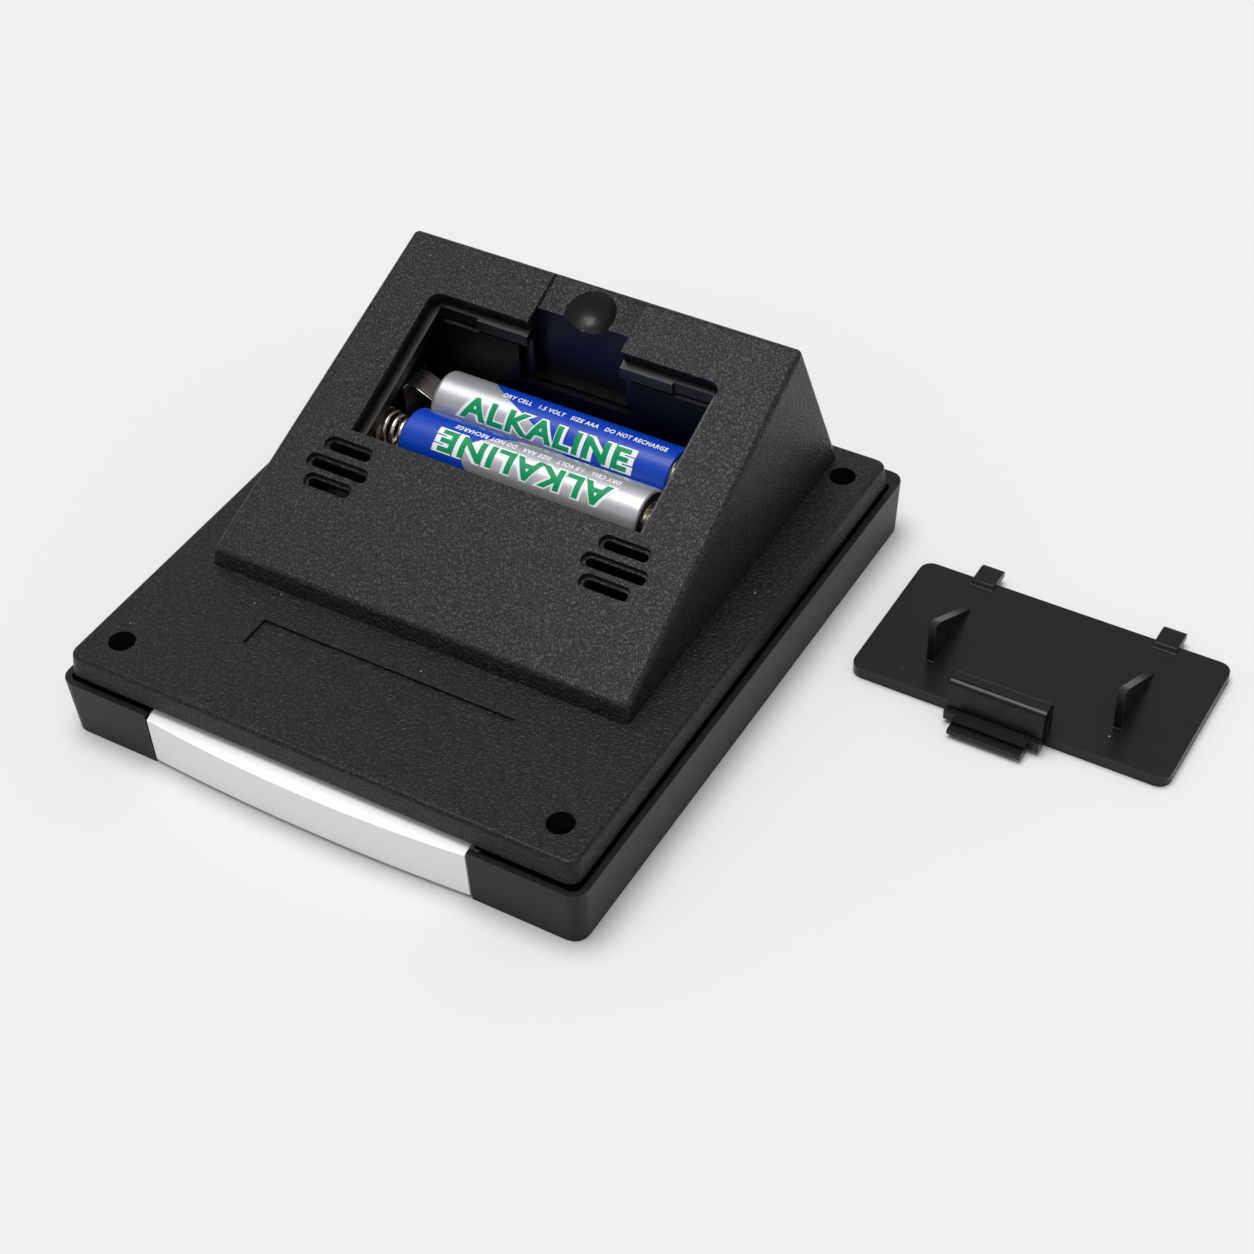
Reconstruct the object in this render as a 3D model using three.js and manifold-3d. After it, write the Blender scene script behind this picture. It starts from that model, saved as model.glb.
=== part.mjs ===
// Digital desk alarm clock, lying on its face with the battery cover off and placed beside it.
// Millimetres, +Z up. The origin is the centre of the display lens, on the surface it lies on.
// +X runs along the snooze bar's edge, and +Y away from that edge, towards the clock's foot.
import * as THREE from 'three';
import { mergeVertices } from 'three/addons/utils/BufferGeometryUtils.js';
import Module from 'manifold-3d';

const wasm = await Module();
wasm.setup();

// ---- driving dimensions ----
const GAP = 0.3;                    // clearance between pieces that nest or face each other
const FACE_GAP = 0.05;              // clearance between flat pieces that lie on each other

const FRAME = { width: 92.8, depth: 102.7, faceWidth: 91.7, faceDepth: 102.1, height: 10.2, corner: 2.4,
  wall: 1.0, backWall: 2.9, floor: 1.8, shiftY: 0.95 };
const LID = { width: 90.2, depth: 98.5, topWidth: 89.6, topDepth: 97.9, low: 11.2, top: 15.1, corner: 2.0,
  round: 0.8, plate: 1.7, skirtInset: 0.9, skirtLow: 8.8, skirtCorner: 1.6, hollowCorner: 1.0, wall: 1.3 };
const LABEL = { width: 45.2, front: -34.3, back: -28.7, deep: 0.45 };
const POST = { places: [[39.0, -42.8], [39.9, 42.2]], radius: 2.6, top: 7.6, pilot: 0.95, pilotLow: 2.8,
  bossRadius: 3.2, bossLow: 7.8, seat: 8.8, hole: 2.15, shankHole: 1.1 };

const WEDGE = { lipHalf: 37.5, leanY: 0.0106, leanZ: 0.0597, base: 15.15, footFront: -22.2, lipY: -21.6,
  lipZ: 18.0, topY: 36.6, topZ: 42.9, footBack: 46.5, plate: 2.2, wall: 1.8,
  innerFront: -18.6, backWall: 1.6, round: 1.1 };
const SLOPE = Math.atan2(WEDGE.topZ - WEDGE.lipZ, WEDGE.topY - WEDGE.lipY);
const SLOPE_LENGTH = Math.hypot(WEDGE.topZ - WEDGE.lipZ, WEDGE.topY - WEDGE.lipY);

const OPENING = { half: 26.4, far: 53.35, nearY: 2.5, corner: 2.0, slabFrom: 15.0, ledgeHalf: 25.0,
  ledgeY: 26.9, ledgeStepX: 17.9, ledgeStepY: 27.35, seat: 2.3, rim: 4.0, rimWall: 1.6 };
const TAB_POCKET = { half: 2.3, from: 21.6, to: 28.0, deep: 3.7 };
const NOTCH = { half: 8.5, blockY: 30.55, shelfZ: 27.7, backY: 37.0, recess: 0.6, wall: 1.5, shelf: 1.5 };
const SCOOP = { x: 0.3, along: 58.1, ball: 5.2, rise: 2.2 };
const SLOTS = { x: 25.1, rows: [[22.95, 8.9], [19.4, 11.5], [16.1, 8.8]], height: 2.7, step: 0.6, deep: 0.8 };
const HOUSING_SCREW = { x: 33.0, ys: [8.0, 34.0], bossRadius: 2.2, pilot: 0.95, reach: 21.0, hole: 1.25 };

const CELL = { radius: 5.15, length: 44.5, nub: 1.0, nubRadius: 1.9, lefts: [-20.8, -22.5], ys: [11.0, 21.5],
  z: 22.6 };
const TRAY = { left: -27.9, right: 26.4, near: 2.95, far: 26.9, floorTop: 15.3, floor: 1.4, wall: 1.2,
  flange: 1.3, saddleXs: [-12, 12], saddleThick: 1.6 };
const CONTACT = { thick: 0.4, width: 6.6, low: 16.6, high: 25.4, tailHalf: 1.0, tailLow: 12.9, leafWidth: 4.6,
  foldReach: 1.6, leafDrop: 3.4, touchHalf: 1.2 };
const SPRING = { wire: 0.35, baseRadius: 3.4, tipRadius: 2.3, turns: 4 };

const COVER = { x: 80.45, y: 30.0, width: 52.2, depth: 27.4, thick: 2.0, corner: 2.0, tabX: 15.4,
  tabWidth: 3.8, tabReach: 3.1, tabLow: 1.2, tabTop: 2.6 };
const COVER_RIB = { thick: 1.3, front: 22.9, back: 36.3, crest: 24.6, crestZ: 9.2, tip: 23.2, tipZ: 9.4 };
const LATCH = { x: 79.4, width: 15.6, lipWidth: 12.0, legInner: 18.5, leg: 1.2, ridgeZ: 6.5, ridgeRadius: 0.9,
  outer: 14.6, outerTop: 15.2, foot: 13.7, skin: 1.1, lipY: 11.0, lipStep: 1.4, lipLow: 0.8, lipTop: 2.5 };

const BAR = { x: -1.1, half: 28.4, low: 0.8, fold: 9.4, top: 10.3, inner: -47.7, outerLow: -50.2,
  outerFold: -50.4, bulgeLow: 1.0, bulgeFold: 1.5, wall: 1.4 };
const BAR_EAR = { reach: 1.2, front: -48.85, back: -47.9, low: 2.2, high: 8.6 };
const BAR_PUSHER = { half: 1.6, web: 0.7, root: -49.6 };
const GUIDE_RIB = { near: 1.5, thick: 1.0, front: -49.6, back: -48.65 };
const SWITCH = { front: -42.6, back: -38.0, half: 3.0, z: 5.2, below: 2.0, plunger: 1.0, length: 2.6,
  bore: 1.15, boreDepth: 3.7, tip: -43.45 };

const LENS = { width: 80.0, depth: 58.0, thick: 1.0, corner: 3.0, windowWidth: 68.0, windowDepth: 46.0,
  windowCorner: 2.0 };
const LCD = { width: 74.0, depth: 52.0, low: 1.85, high: 4.05 };
const LIGHT = { half: 35.0, halfY: 22.5, foilHigh: 4.5, low: 4.55, high: 6.4, ledLow: 5.0, ledWidth: 1.4 };
const ZEBRA = { half: 34.0, halfY: 0.9, y: 24.6 };
const BOARD = { low: 7.0, high: 8.6, halfX: 41.0, halfY: 38.0, switchTongue: -43.0, switchHalf: 8.0,
  keyTongue: 46.0, keyHalf: 30.0 };
const CRYSTAL = { radius: 1.0, length: 6.0 };
const CAPACITOR = { radius: 2.5, height: 4.0 };
const BUZZER = { radius: 6.0, height: 3.2, hole: 1.0, holeLow: 1.4 };
const BOARD_SCREW = { x: 38.2, y: 33.0, post: 2.0, pilot: 0.8, pilotLow: 3.0, hole: 1.1 };
const KEYS = { xs: [-21, -7, 7, 21], y: 41.0, width: 9.0, depth: 5.0, low: 0.4, high: 2.6, flange: 0.8,
  corner: 1.0 };
const KEYPAD = { low: 5.4, margin: 7.0, halfY: 4.0, dome: 3.55, domeRadius: 2.3, domeFoot: 3.1 };

// ---- solids and joins ----
function toSolid(geometry) {
  const bare = geometry.clone();
  bare.deleteAttribute('normal');
  bare.deleteAttribute('uv');
  const welded = mergeVertices(bare, 1e-4);
  return new wasm.Manifold(new wasm.Mesh({
    numProp: 3,
    vertProperties: new Float32Array(welded.attributes.position.array),
    triVerts: new Uint32Array(welded.index.array),
  }));
}

function toGeometry(solid) {
  const mesh = solid.getMesh();
  const geometry = new THREE.BufferGeometry();
  geometry.setAttribute('position', new THREE.BufferAttribute(new Float32Array(mesh.vertProperties), 3));
  geometry.setIndex(new THREE.BufferAttribute(new Uint32Array(mesh.triVerts), 1));
  geometry.computeVertexNormals();
  return geometry;
}

// Joins every geometry in adds to the base, then takes every geometry in cuts away.
function carve(base, adds, cuts = []) {
  let solid = toSolid(base);
  for (const piece of adds) solid = solid.add(toSolid(piece));
  for (const piece of cuts) solid = solid.subtract(toSolid(piece));
  return toGeometry(solid);
}

function common(a, b) {
  return toGeometry(toSolid(a).intersect(toSolid(b)));
}

// ---- basic forms ----
function block(x0, x1, y0, y1, z0, z1) {
  const geometry = new THREE.BoxGeometry(x1 - x0, y1 - y0, z1 - z0);
  return geometry.translate((x0 + x1) / 2, (y0 + y1) / 2, (z0 + z1) / 2);
}

function roundedRect(width, depth, radius) {
  const x = width / 2;
  const y = depth / 2;
  const shape = new THREE.Shape();
  shape.absarc(x - radius, y - radius, radius, 0, Math.PI / 2);
  shape.absarc(-x + radius, y - radius, radius, Math.PI / 2, Math.PI);
  shape.absarc(-x + radius, -y + radius, radius, Math.PI, 1.5 * Math.PI);
  shape.absarc(x - radius, -y + radius, radius, 1.5 * Math.PI, 2 * Math.PI);
  return shape;
}

function slab(shape, z0, z1, curveSegments = 2) {
  const geometry = new THREE.ExtrudeGeometry(shape, { depth: z1 - z0, bevelEnabled: false, curveSegments });
  return geometry.translate(0, 0, z0);
}

function roundedSlab(width, depth, radius, z0, z1) {
  return slab(roundedRect(width, depth, radius), z0, z1);
}

// A slab whose sides lean: low and high give the width and depth at its two ends.
function draftedSlab(low, high, radius, z0, z1) {
  const geometry = roundedSlab(low[0], low[1], radius, z0, z1);
  const points = geometry.attributes.position;
  for (let i = 0; i < points.count; i += 1) {
    const t = (points.getZ(i) - z0) / (z1 - z0);
    points.setX(i, points.getX(i) * THREE.MathUtils.lerp(1, high[0] / low[0], t));
    points.setY(i, points.getY(i) * THREE.MathUtils.lerp(1, high[1] / low[1], t));
  }
  return geometry;
}

function post(x, y, radius, z0, z1, sides = 16) {
  const geometry = new THREE.CylinderGeometry(radius, radius, z1 - z0, sides);
  return geometry.rotateX(Math.PI / 2).translate(x, y, (z0 + z1) / 2);
}

function cone(x, y, lowRadius, highRadius, z0, z1, sides = 12) {
  const geometry = new THREE.CylinderGeometry(highRadius, lowRadius, z1 - z0, sides);
  return geometry.rotateX(Math.PI / 2).translate(x, y, (z0 + z1) / 2);
}

// A profile of (y, z) points, drawn out along X from x0 to x1.
function bar(points, x0, x1, curveSegments = 4) {
  const shape = points instanceof THREE.Shape ? points
    : new THREE.Shape(points.map(([y, z]) => new THREE.Vector2(y, z)));
  const geometry = new THREE.ExtrudeGeometry(shape, { depth: x1 - x0, bevelEnabled: false, curveSegments });
  return geometry.rotateY(Math.PI / 2).rotateX(Math.PI / 2).translate(x0, 0, 0);
}

// Takes a form drawn flat, with Y along the slope and Z out of it, onto the sloping face.
function onSlope(geometry) {
  return geometry.rotateX(SLOPE).translate(0, WEDGE.lipY, WEDGE.lipZ);
}

function slopeBlock(x0, x1, s0, s1, n0, n1) {
  return onSlope(block(x0, x1, s0, s1, n0, n1));
}

// ---- front frame and what it holds ----
function frontFrame() {
  const f = FRAME;
  const shell = draftedSlab([f.faceWidth, f.faceDepth], [f.width, f.depth], f.corner, 0, f.height);
  const inner = ([width, depth]) => [width - 2 * f.wall, depth - f.wall - f.backWall];
  const hollow = draftedSlab(inner([f.faceWidth, f.faceDepth]), inner([f.width, f.depth]), f.corner - f.wall,
    f.floor, f.height + 1);
  const open = carve(shell.translate(0, f.shiftY, 0), [],
    [hollow.translate(0, f.shiftY - (f.backWall - f.wall) / 2, 0)]);
  const adds = [];
  const cuts = [
    roundedSlab(LENS.width + 2 * GAP, LENS.depth + 2 * GAP, LENS.corner, -1, LENS.thick + FACE_GAP),
    roundedSlab(LENS.windowWidth, LENS.windowDepth, LENS.windowCorner, -1, f.floor + 1),
    block(BAR.x - BAR.half - GAP, BAR.x + BAR.half + GAP, -60, -46.2, -1, f.height + 1),
    ...KEYS.xs.map((x) => roundedSlab(KEYS.width + 2 * GAP, KEYS.depth + 2 * GAP, KEYS.corner + 0.2, -1,
      f.floor + 1).translate(x, KEYS.y, 0)),
  ];
  for (const side of [-1, 1]) {
    for (const [x, y] of POST.places) {
      adds.push(post(side * x, y, POST.radius, f.floor - 0.2, POST.top));
      cuts.push(post(side * x, y, POST.pilot, POST.pilotLow, POST.top + 1, 12));
    }
    for (const y of [-BOARD_SCREW.y, BOARD_SCREW.y]) {
      adds.push(post(side * BOARD_SCREW.x, y, BOARD_SCREW.post, f.floor - 0.2, BOARD.low - FACE_GAP));
      cuts.push(post(side * BOARD_SCREW.x, y, BOARD_SCREW.pilot, BOARD_SCREW.pilotLow, BOARD.low + 1, 10));
    }
    const ribX = BAR.x + side * (BAR.half + GUIDE_RIB.near + GUIDE_RIB.thick / 2);
    adds.push(block(ribX - GUIDE_RIB.thick / 2, ribX + GUIDE_RIB.thick / 2, GUIDE_RIB.front, GUIDE_RIB.back,
      f.floor - 0.2, f.height - 0.6));
  }
  return carve(open, adds, cuts);
}

function keyCap() {
  const k = KEYS;
  const head = roundedSlab(k.width, k.depth, k.corner, k.low, k.high);
  const flange = roundedSlab(k.width + 2 * k.flange, k.depth + 2 * k.flange, k.corner, FRAME.floor + 0.1,
    k.high);
  return carve(head, [flange]);
}

function keyPad() {
  const p = KEYPAD;
  const reach = KEYS.xs[3] + p.margin;
  const sheet = block(-reach, reach, KEYS.y - p.halfY, KEYS.y + p.halfY, p.low, BOARD.low - FACE_GAP);
  const domes = KEYS.xs.map((x) => cone(x, KEYS.y, p.domeRadius, p.domeFoot, p.dome, p.low + 0.2, 16));
  return carve(sheet, domes);
}

function mainBoard() {
  const b = BOARD;
  const plate = block(-b.halfX, b.halfX, -b.halfY, b.halfY, b.low, b.high);
  const tongues = [
    block(-b.switchHalf, b.switchHalf, b.switchTongue, -b.halfY + 1, b.low, b.high),
    block(-b.keyHalf, b.keyHalf, b.halfY - 1, b.keyTongue, b.low, b.high),
  ];
  const holes = [];
  for (const x of [-BOARD_SCREW.x, BOARD_SCREW.x]) {
    for (const y of [-BOARD_SCREW.y, BOARD_SCREW.y]) {
      holes.push(post(x, y, BOARD_SCREW.hole, b.low - 1, b.high + 1, 12));
    }
  }
  return carve(plate, tongues, holes);
}

// A drop of black resin over the clock chip.
function controllerBlob() {
  const profile = [[0, 0], [6.2, 0], [5.9, 0.5], [4.6, 1.1], [2.4, 1.5], [0, 1.6]];
  return new THREE.LatheGeometry(profile.map(([r, h]) => new THREE.Vector2(r, h)), 24).rotateX(Math.PI / 2);
}

function alarmBuzzer() {
  const b = BUZZER;
  return carve(post(0, 0, b.radius, 0, b.height, 28), [], [post(0, 0, b.hole, b.holeLow, b.height + 1, 12)]);
}

// ---- snooze bar and its switch ----
// A bar with a bowed outer face: the face leans out as it rises to its fold, then slopes back over the top.
function bowedBar(b) {
  const geometry = new THREE.BoxGeometry(2 * b.half, 1, 1, 20, 1, 1);
  const points = geometry.attributes.position;
  for (let i = 0; i < points.count; i += 1) {
    const bow = 1 - (points.getX(i) / b.half) ** 2;
    const outside = points.getY(i) < 0;
    const high = points.getZ(i) > 0;
    const outer = high ? b.outerFold - bow * b.bulgeFold : b.outerLow - bow * b.bulgeLow;
    points.setY(i, outside ? outer : b.inner);
    points.setZ(i, high ? (outside ? b.fold : b.top) : b.low);
  }
  return geometry;
}

// A moulded shell, open at its inner side, with a guide ear at each end and a pusher for the switch.
function snoozeBar() {
  const b = BAR;
  const hollow = bowedBar({ ...b, half: b.half - b.wall, low: b.low + b.wall, fold: b.fold - b.wall,
    top: b.top - b.wall, inner: b.inner + 2, outerLow: b.outerLow + b.wall,
    outerFold: b.outerFold + b.wall });
  const shell = carve(bowedBar(b), [], [hollow]);
  const ears = [-1, 1].map((side) => {
    const span = [side * (b.half - 1), side * (b.half + BAR_EAR.reach)].sort((m, n) => m - n);
    return block(span[0], span[1], BAR_EAR.front, BAR_EAR.back, BAR_EAR.low, BAR_EAR.high);
  });
  const p = BAR_PUSHER;
  const pusher = block(-p.half - b.x, p.half - b.x, p.root, SWITCH.tip - FACE_GAP, SWITCH.z - p.half,
    SWITCH.z + p.half);
  const web = block(-p.web - b.x, p.web - b.x, p.root, b.inner - 0.2, b.low + 0.5, b.fold - 0.5);
  return carve(shell, [...ears, pusher, web]).translate(b.x, 0, 0);
}

function snoozeSwitch() {
  const s = SWITCH;
  const can = block(-s.half, s.half, s.front, s.back, s.z - s.below, BOARD.low - FACE_GAP);
  const bore = new THREE.CylinderGeometry(s.bore, s.bore, s.boreDepth + 1, 16);
  return carve(can, [], [bore.translate(0, s.front + (s.boreDepth - 1) / 2, s.z)]);
}

function snoozePlunger() {
  const s = SWITCH;
  const rod = new THREE.CylinderGeometry(s.plunger, s.plunger, s.length, 16);
  return rod.translate(0, s.tip + s.length / 2, s.z);
}

// ---- back cover ----
// The back cover's outside: one skin over its foot and the ever smaller outlines of its rounded top edge.
function lidOuter() {
  const l = LID;
  const outline = (width, depth, radius, z) => roundedRect(width, depth, radius).getPoints(4)
    .map(({ x, y }) => [x, y, z]);
  const points = outline(l.width, l.depth, l.corner, l.low);
  for (let k = 0; k <= 4; k += 1) {
    const inset = l.round * (1 - Math.cos(k * Math.PI / 8));
    const z = l.top - l.round * (1 - Math.sin(k * Math.PI / 8));
    points.push(...outline(l.topWidth - 2 * inset, l.topDepth - 2 * inset, l.corner - inset, z));
  }
  return toGeometry(wasm.Manifold.hull(points));
}

function backCover() {
  const l = LID;
  const lid = lidOuter();
  const skirtWidth = l.width - 2 * l.skirtInset;
  const skirtDepth = l.depth - 2 * l.skirtInset;
  const skirt = roundedSlab(skirtWidth, skirtDepth, l.skirtCorner, l.skirtLow, l.low + 0.2);
  const hollow = roundedSlab(skirtWidth - 2 * l.wall, skirtDepth - 2 * l.wall, l.hollowCorner, l.skirtLow - 1,
    l.top - l.plate);
  const barRoom = block(BAR.x - BAR.half - 3, BAR.x + BAR.half + 3, -60, -44.4, l.skirtLow - 1, l.low);
  const open = carve(lid, [skirt], [hollow, barRoom]);
  const bosses = [];
  const cuts = [
    block(TRAY.left - TRAY.wall - GAP, TRAY.right + TRAY.wall + GAP, TRAY.near - TRAY.wall - GAP,
      TRAY.far + TRAY.wall + GAP, l.low, l.top + 1),
    block(-LABEL.width / 2, LABEL.width / 2, LABEL.front, LABEL.back, l.top - LABEL.deep, l.top + 1),
  ];
  for (const side of [-1, 1]) {
    for (const [x, y] of POST.places) {
      bosses.push(post(side * x, y, POST.bossRadius, POST.bossLow, l.top - l.plate + 0.2));
      cuts.push(post(side * x, y, POST.hole, POST.seat, l.top + 1, 24));
      cuts.push(post(side * x, y, POST.shankHole, POST.bossLow - 1, l.top, 12));
    }
    for (const y of HOUSING_SCREW.ys) {
      cuts.push(post(side * HOUSING_SCREW.x, y, HOUSING_SCREW.hole, l.top - l.plate - 1, l.top + 1, 12));
    }
  }
  return carve(open, bosses, cuts);
}

// ---- stand housing ----
// Narrows a form along X as it rises and runs back, as the housing's sides do; offset makes an inner skin.
function leanSides(geometry, offset) {
  const w = WEDGE;
  const points = geometry.attributes.position;
  for (let i = 0; i < points.count; i += 1) {
    const lean = w.leanY * (points.getY(i) - w.lipY) + w.leanZ * (points.getZ(i) - w.lipZ);
    points.setX(i, Math.sign(points.getX(i)) * (w.lipHalf - lean - offset));
  }
  return geometry;
}

// Height of a plane that lies depth below the sloping face, at a given y.
function slopeHeight(y, depth) {
  return WEDGE.lipZ + (y - WEDGE.lipY) * Math.tan(SLOPE) - depth / Math.cos(SLOPE);
}

// The point where three planes meet, each given as [x, y, z, distance] with a unit normal.
function meeting(planes) {
  const normals = new THREE.Matrix3().set(...planes.flatMap((plane) => plane.slice(0, 3)));
  return new THREE.Vector3(...planes.map((plane) => plane[3])).applyMatrix3(normals.invert());
}

// A plane square to the YZ plane through two [y, z] points, moved inwards by inset.
function profilePlane([y0, z0], [y1, z1], inset) {
  const length = Math.hypot(y1 - y0, z1 - z0);
  const normal = [(z1 - z0) / length, -(y1 - y0) / length];
  return [0, normal[0], normal[1], normal[0] * y0 + normal[1] * z0 - inset];
}

// The wedge's outside: a ball in every corner and one skin over them all, cut flat at the base.
function wedgeOuter() {
  const w = WEDGE;
  const profile = [[w.footFront, w.base], [w.footBack, w.base], [w.topY, w.topZ], [w.lipY, w.lipZ]];
  const size = Math.hypot(1, w.leanY, w.leanZ);
  const reach = (w.lipHalf + w.leanY * w.lipY + w.leanZ * w.lipZ) / size - w.round;
  const back = profilePlane(profile[1], profile[2], w.round);
  const slope = profilePlane(profile[2], profile[3], w.round);
  const front = profilePlane(profile[3], profile[0], w.round);
  const base = [0, 0, 1, w.base];
  const balls = [];
  for (const side of [-1, 1]) {
    const flank = [side / size, w.leanY / size, w.leanZ / size, reach];
    for (const pair of [[back, base], [slope, back], [front, slope], [base, front]]) {
      const centre = meeting([flank, ...pair]);
      balls.push(new THREE.SphereGeometry(w.round, 16, 8).translate(centre.x, centre.y, centre.z));
    }
  }
  const skin = wasm.Manifold.hull(balls.map(toSolid));
  return common(toGeometry(skin), block(-60, 60, -60, 60, w.base, 60));
}

function wedgeInner() {
  const w = WEDGE;
  const back = w.topY - 1.1;
  const profile = [[w.innerFront, w.base - 1], [w.footBack - w.backWall, w.base - 1],
    [back, slopeHeight(back, w.plate)], [w.innerFront, slopeHeight(w.innerFront, w.plate)]];
  return leanSides(bar(profile, -1, 1), w.wall);
}

function slotCuts() {
  const cuts = [];
  for (const side of [-1, 1]) {
    for (const [along, length] of SLOTS.rows) {
      const outer = roundedSlab(length, SLOTS.height, SLOTS.height / 2 - 0.01, -SLOTS.deep, 1);
      const innerHeight = SLOTS.height - 2 * SLOTS.step;
      const through = roundedSlab(length - 2 * SLOTS.step, innerHeight, innerHeight / 2 - 0.01, -4, 1);
      for (const form of [outer, through]) cuts.push(onSlope(form.translate(side * SLOTS.x, along, 0)));
    }
  }
  return cuts;
}

function latchBlock() {
  const n = NOTCH;
  return block(-n.half - n.wall, n.half + n.wall, TRAY.far + TRAY.wall + GAP, n.backY, n.shelfZ - n.shelf,
    50);
}

function standHousing() {
  const o = OPENING;
  const outer = wedgeOuter();
  const shell = carve(outer, [], [wedgeInner()]);
  const bosses = [];
  const pilots = [];
  for (const x of [-HOUSING_SCREW.x, HOUSING_SCREW.x]) {
    for (const y of HOUSING_SCREW.ys) {
      bosses.push(post(x, y, HOUSING_SCREW.bossRadius, WEDGE.base, 50, 16));
      pilots.push(post(x, y, HOUSING_SCREW.pilot, WEDGE.base - 1, HOUSING_SCREW.reach + 0.6, 12));
    }
  }
  const rim = slopeBlock(-o.half - o.rimWall, o.half + o.rimWall, o.half, o.far + o.rimWall, -o.rim,
    -WEDGE.plate + 0.1);
  const inside = carve(rim, [latchBlock(), ...bosses]);
  const body = carve(shell, [common(inside, outer)]);

  const seatSlab = slab(roundedRect(2 * o.half, o.far - o.slabFrom, o.corner), -o.seat, 4, 4)
    .translate(0, (o.far + o.slabFrom) / 2, 0);
  const seat = common(onSlope(seatSlab), block(-40, 40, o.nearY, 60, 0, 60));
  const through = block(-o.ledgeHalf, o.ledgeHalf, o.nearY, o.ledgeY, 16, 50);
  const steps = [-1, 1].map((side) => {
    const span = [side * o.ledgeStepX, side * o.ledgeHalf].sort((a, b) => a - b);
    return block(span[0], span[1], o.ledgeY - 1, o.ledgeStepY, 16, 50);
  });
  const tabs = [-1, 1].map((side) => slopeBlock(side * COVER.tabX - TAB_POCKET.half,
    side * COVER.tabX + TAB_POCKET.half, TAB_POCKET.from, TAB_POCKET.to, -TAB_POCKET.deep, -o.seat + 0.1));
  const pocket = block(-NOTCH.half, NOTCH.half, o.ledgeY - 1, NOTCH.blockY, NOTCH.shelfZ, 50);
  const blockTop = slopeBlock(-NOTCH.half, NOTCH.half, o.far - 1, SLOPE_LENGTH + 5, -NOTCH.recess, 4);
  const cuts = [seat, through, ...steps, ...tabs, pocket, blockTop, ...slotCuts(), ...pilots];
  const open = carve(body, [], cuts);

  const ball = onSlope(new THREE.SphereGeometry(SCOOP.ball, 24, 12).rotateX(Math.PI / 2)
    .translate(SCOOP.x, SCOOP.along, SCOOP.rise));
  return carve(open, [], [ball]);
}

// ---- battery tray, contacts and cells ----
function batteryTray() {
  const t = TRAY;
  const x0 = t.left - t.wall;
  const x1 = t.right + t.wall;
  const y0 = t.near - t.wall;
  const y1 = t.far + t.wall;
  const body = block(x0, x1, y0, y1, t.floorTop - t.floor, 40);
  const flange = block(x0 - t.flange, x1 + t.flange, y0 - t.flange, y1 + t.flange, LID.top + FACE_GAP,
    LID.top + 1);
  const cuts = [
    block(t.left, t.right, t.near, t.far, t.floorTop, 60),
    slopeBlock(-60, 60, -40, 90, -WEDGE.plate - 0.4, 40),
    common(slopeBlock(-60, 60, 0, 90, -OPENING.rim - 0.4, 40), block(-60, 60, t.near, 60, 0, 60)),
    block(-NOTCH.half - NOTCH.wall - GAP, NOTCH.half + NOTCH.wall + GAP, t.far - 0.5, 60,
      NOTCH.shelfZ - 0.3, 60),
    ...CELL.ys.map((y) => block(t.left - 0.05, t.left + 0.95, y - 1.4, y + 1.4, 10, t.floorTop + 1)),
  ];
  const saddles = t.saddleXs.map((x) => carve(
    block(x - t.saddleThick / 2, x + t.saddleThick / 2, t.near - 0.2, t.far + 0.2, t.floorTop - 0.2,
      CELL.z - 2),
    [], CELL.ys.map((y) => new THREE.CylinderGeometry(CELL.radius + GAP, CELL.radius + GAP, 4, 32)
      .rotateZ(Math.PI / 2).translate(x, y, CELL.z))));
  return carve(carve(body, [flange], cuts), saddles);
}

// A flat contact against an end wall, with a tail that drops through the tray's floor.
function tailedPlate(y) {
  const c = CONTACT;
  const x = TRAY.left + FACE_GAP;
  return carve(block(x, x + c.thick, y - c.width / 2, y + c.width / 2, c.low, c.high),
    [block(x, x + c.thick, y - c.tailHalf, y + c.tailHalf, c.tailLow, c.low + 0.5)]);
}

// A sprung leaf folded over from the top of a contact plate at x = wallX, out to tipX.
function leaf(y, wallX, tipX) {
  const side = Math.sign(tipX - wallX);
  const c = CONTACT;
  const z = CELL.z;
  const front = [[wallX, c.high], [wallX + side * c.foldReach, c.high], [tipX, z + c.touchHalf],
    [tipX, z - c.touchHalf], [wallX + side * c.foldReach, z - c.leafDrop]];
  const back = [[wallX + side * (c.foldReach - 0.2), z - c.leafDrop + 0.3],
    [tipX - side * c.thick, z - c.touchHalf + 0.2], [tipX - side * c.thick, z + c.touchHalf - 0.2],
    [wallX + side * (c.foldReach - 0.3), c.high - c.thick], [wallX, c.high - c.thick]];
  const shape = new THREE.Shape(front.concat(back).map(([x, h]) => new THREE.Vector2(x, h)));
  const geometry = new THREE.ExtrudeGeometry(shape, { depth: c.leafWidth, bevelEnabled: false });
  return geometry.rotateX(Math.PI / 2).translate(0, y + c.leafWidth / 2, 0);
}

function positivePlate() {
  const wallX = TRAY.left + FACE_GAP;
  return carve(tailedPlate(CELL.ys[1]), [leaf(CELL.ys[1], wallX + CONTACT.thick / 2, CELL.lefts[1] - GAP)]);
}

function linkPlate() {
  const c = CONTACT;
  const x = TRAY.right - FACE_GAP;
  const plate = block(x - c.thick, x, CELL.ys[0] - c.width / 2, CELL.ys[1] + c.width / 2, c.low, c.high);
  return carve(plate, [leaf(CELL.ys[0], x - c.thick / 2, CELL.lefts[0] + CELL.length + GAP)]);
}

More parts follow.
